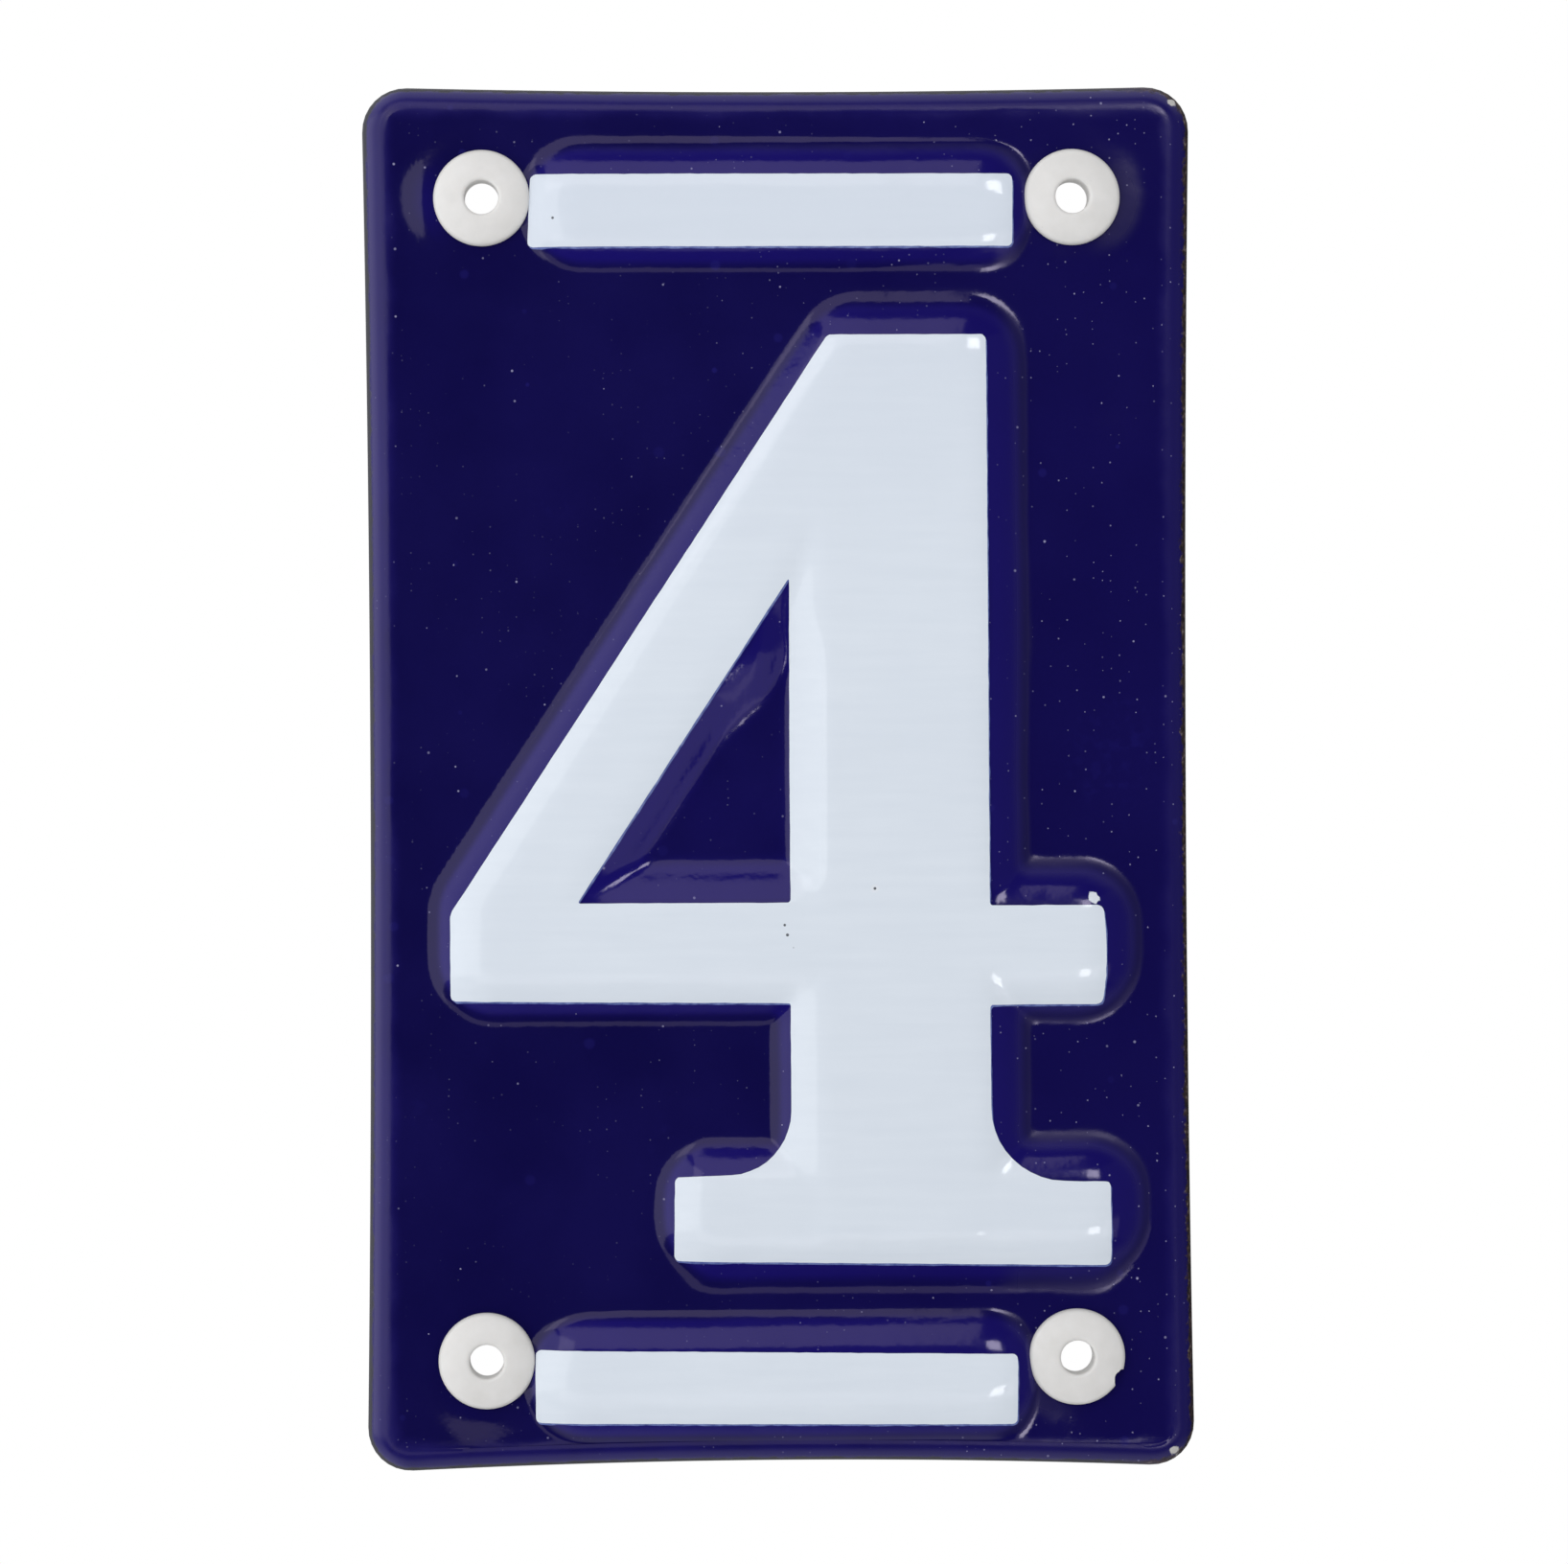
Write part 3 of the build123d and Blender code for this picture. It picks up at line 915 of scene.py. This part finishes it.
nylon, shader, place = finish("nylon", IOR=1.53, Subsurface_Weight=0.12, Subsurface_Scale=0.6 * mm,
                              Subsurface_Radius=(1.0, 0.9, 0.8))
mottle = place.noise(0.5, detail=3)
colour = mottle.gradient((0.3, nylon_dark), (0.7, nylon_light))
colour = colour.paint(place.specks(spacing=2.2, size=0.07, share=0.10) * 0.35, nylon_speck)
connect(shader, Base_Color=colour, Roughness=0.36 + mottle * 0.12,
        Normal=bump(place.noise(1.2, detail=3), 0.02 * mm))
report(nylon)

# %% [markdown]
# Each piece now gets its finish. The plate has two: its front is blue and every face that touches its
# back has the ground coat. All pieces ride on the one body, and the plate and the bushes replace their
# CAD nodes. The white coats replace nothing, because in the CAD model they are the plate's own face.

# %% Finishes on the pieces
plate.data.materials.append(blue_enamel)
plate.data.materials.append(ground_coat)
edit(plate)
weights = bmesh.from_edit_mesh(plate.data).verts.layers.deform.active
back_faces = pick(plate, "FACE", lambda face: on_back(face, weights))
plate.active_material_index = 1
bpy.ops.object.material_slot_assign()
select_only(plate)
for pieces, coat in ((white_pieces, white_enamel), (fringes, fringe_shade), (bushes, nylon)):
    for piece in pieces:
        piece.data.materials.append(coat)

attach(plate, "root")
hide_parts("plate")
for piece in white_pieces + fringes:
    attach(piece, "root")
bush_nodes = ("bush_upper_left", "bush_upper_right", "bush_lower_left", "bush_lower_right")
for piece, node in zip(bushes, bush_nodes):
    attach(piece, "root")
    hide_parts(node)
print("faces with the ground coat:", back_faces)

# %% [markdown]
# The photograph has a plain white surround, which camera, mirrored and transmitted rays see at full
# strength. The plaque itself is lit more softly, and it hangs over a pale floor.

# %% Floor and world
floor_size, floor_height = 1.1, -0.17
floor_dark, floor_light, floor_glow = (0.86, 0.86, 0.86), (0.9, 0.9, 0.9), (0.5, 0.5, 0.5)
soft_strength = 0.61


def background_rays(tree):
    """1 for the rays that see the pale surround: the camera's own, mirrored ones and those through glass."""
    rays = tree.nodes.new("ShaderNodeLightPath")
    seen = Value(rays.outputs["Is Camera Ray"])
    for kind in ("Is Glossy Ray", "Is Transmission Ray"):
        seen = seen.math("MAXIMUM", seen, Value(rays.outputs[kind]))
    return seen


bpy.ops.object.select_all(action="DESELECT")
bpy.ops.mesh.primitive_plane_add(size=floor_size, location=(0, 0, floor_height))
floor = bpy.context.object
floor.name = "floor"
pale, shader, place = finish("pale_floor", Emission_Strength=1, Roughness=0.9)
seen = background_rays(pale.node_tree)
glow = seen.node("ShaderNodeMix", {"data_type": "RGBA"}, {0: seen, 6: (0, 0, 0), 7: floor_glow}, 2)
connect(shader, Base_Color=place.noise(0.02).gradient((0, floor_dark), (1, floor_light)), Emission_Color=glow)
floor.data.materials.append(pale)
floor.visible_glossy = False

world = bpy.data.worlds.new("studio")
bpy.context.scene.world = world
world.use_nodes = True
tree = world.node_tree
soft = tree.nodes["Background"]
soft.inputs["Color"].default_value = (1, 1, 1, 1)
soft.inputs["Strength"].default_value = soft_strength
seen = background_rays(tree)
white = seen.node("ShaderNodeBackground", {}, {"Color": (1, 1, 1), "Strength": 1.0})
both = seen.node("ShaderNodeMixShader", {}, {0: seen, 1: Value(soft.outputs[0]), 2: white})
tree.links.new(both.socket, tree.nodes["World Output"].inputs["Surface"])
print("soft light of", soft_strength, "from all round")

# %% [markdown]
# In the enamel the camera's side of the room is dark, and it gets lighter towards the sides, the ceiling
# and the ground. A sphere that only glossy rays see stands for that room.

# %% The dark room
room_radius = 1.6
bpy.ops.object.select_all(action="DESELECT")
bpy.ops.mesh.primitive_uv_sphere_add(segments=32, ring_count=16, radius=room_radius)
dark_room = bpy.context.object
dark_room.name = "dark_room"
walls, shader, place = finish("dark_room", Base_Color=(0, 0, 0, 1), Roughness=1.0, Specular_IOR_Level=0.0)
towards = place.node("ShaderNodeVectorMath", {"operation": "NORMALIZE"}, {0: place})
rightward, backward, upward = (towards.axis(number) for number in range(3))
outer = 1 - (-1 * backward).step(0.3, 0.72)
sides = 0.26 + 0.45 * (-1 * rightward).step(0.0, 0.6) - 0.22 * rightward.step(0.2, 0.7)
level = outer * (sides + 0.75 * upward.step(0.3, 0.8) + 0.36 * (-1 * upward).step(0.3, 0.8))
glow = level.node("ShaderNodeEmission", {}, {"Color": level, "Strength": 1.0})
walls.node_tree.links.new(glow.socket, walls.node_tree.nodes["Material Output"].inputs["Surface"])
walls.cycles.emission_sampling = "NONE"
dark_room.data.materials.append(walls)
for ray in ("camera", "diffuse", "transmission", "volume_scatter", "shadow"):
    setattr(dark_room, "visible_" + ray, False)
report(walls)

# %% [markdown]
# The bands in the enamel are soft panels at the left, above, below and faintly at the right, and its
# small bright spots are two lamps at the right. Each lamp's power is worked out from the brightness that
# its face should have, so that the levels stay easy to compare.

# %% Lamps
violet = (1.0, 0.94, 1.0)


def panel(name, turn, height, distance, width, tall, brightness, colour=(1, 1, 1)):
    """A soft panel aimed at the plaque, turned right of its front and raised, both in degrees."""
    turn, height = math.radians(turn), math.radians(height)
    level = math.cos(height)
    towards = Vector((math.sin(turn) * level, -math.cos(turn) * level, math.sin(height)))
    lamp = bpy.data.lights.new(name, "AREA")
    lamp.shape = "RECTANGLE"
    lamp.size, lamp.size_y = width, tall
    lamp.energy = brightness * math.pi * width * tall
    lamp.color = colour
    holder = bpy.data.objects.new(name, lamp)
    holder.location = towards * distance
    holder.rotation_mode = "QUATERNION"
    holder.rotation_quaternion = (-towards).to_track_quat("-Z", "Y")
    holder.visible_camera = False
    bpy.context.scene.collection.objects.link(holder)
    print(name, "power", round(lamp.energy, 3), "W")


panel("left_window", turn=-58, height=6, distance=0.50, width=0.92, tall=0.52, brightness=1.02)
panel("upper_panel", turn=-12.1, height=31, distance=1.45, width=0.82, tall=0.63, brightness=0.98,
      colour=violet)
panel("lower_panel", turn=0, height=-23, distance=1.45, width=1.32, tall=0.32, brightness=0.60,
      colour=violet)
panel("right_panel", turn=55, height=0, distance=0.50, width=0.55, tall=0.55, brightness=0.06)
panel("right_upper_lamp", turn=13, height=19, distance=1.45, width=0.22, tall=0.22, brightness=8)
panel("right_lower_lamp", turn=12.5, height=-19, distance=1.45, width=0.21, tall=0.21, brightness=8)
panel("lower_right_panel", turn=32, height=-20, distance=0.62, width=0.20, tall=0.20, brightness=0.5,
      colour=violet)

# %% [markdown]
# The photograph looks almost straight at the plaque, from slightly left of its middle: the right-hand
# bores show a sliver of their right wall. The lens is worked out so that the frame's width at the plaque
# is the photograph's 143.8 mm, and the camera is rolled because the plaque leans by a quarter of a
# degree.

# %% Camera
frame_width = 143.8 * mm
aim = Vector((0.44 * mm, -2.7 * mm, -0.35 * mm))
eye = Vector((-16 * mm, -550 * mm, 0))
lean = math.radians(-0.27)
camera_data = bpy.data.cameras.new("camera")
camera_data.sensor_width = 36
camera_data.lens = camera_data.sensor_width * (aim - eye).length / frame_width
camera = bpy.data.objects.new("camera", camera_data)
camera.location = eye
camera.rotation_mode = "QUATERNION"
camera.rotation_quaternion = (aim - eye).to_track_quat("-Z", "Y") @ Quaternion((0, 0, 1), lean)
bpy.context.scene.collection.objects.link(camera)
bpy.context.scene.camera = camera
bpy.context.scene.view_settings.view_transform = "Standard"
print("lens", round(camera_data.lens, 1), "mm")
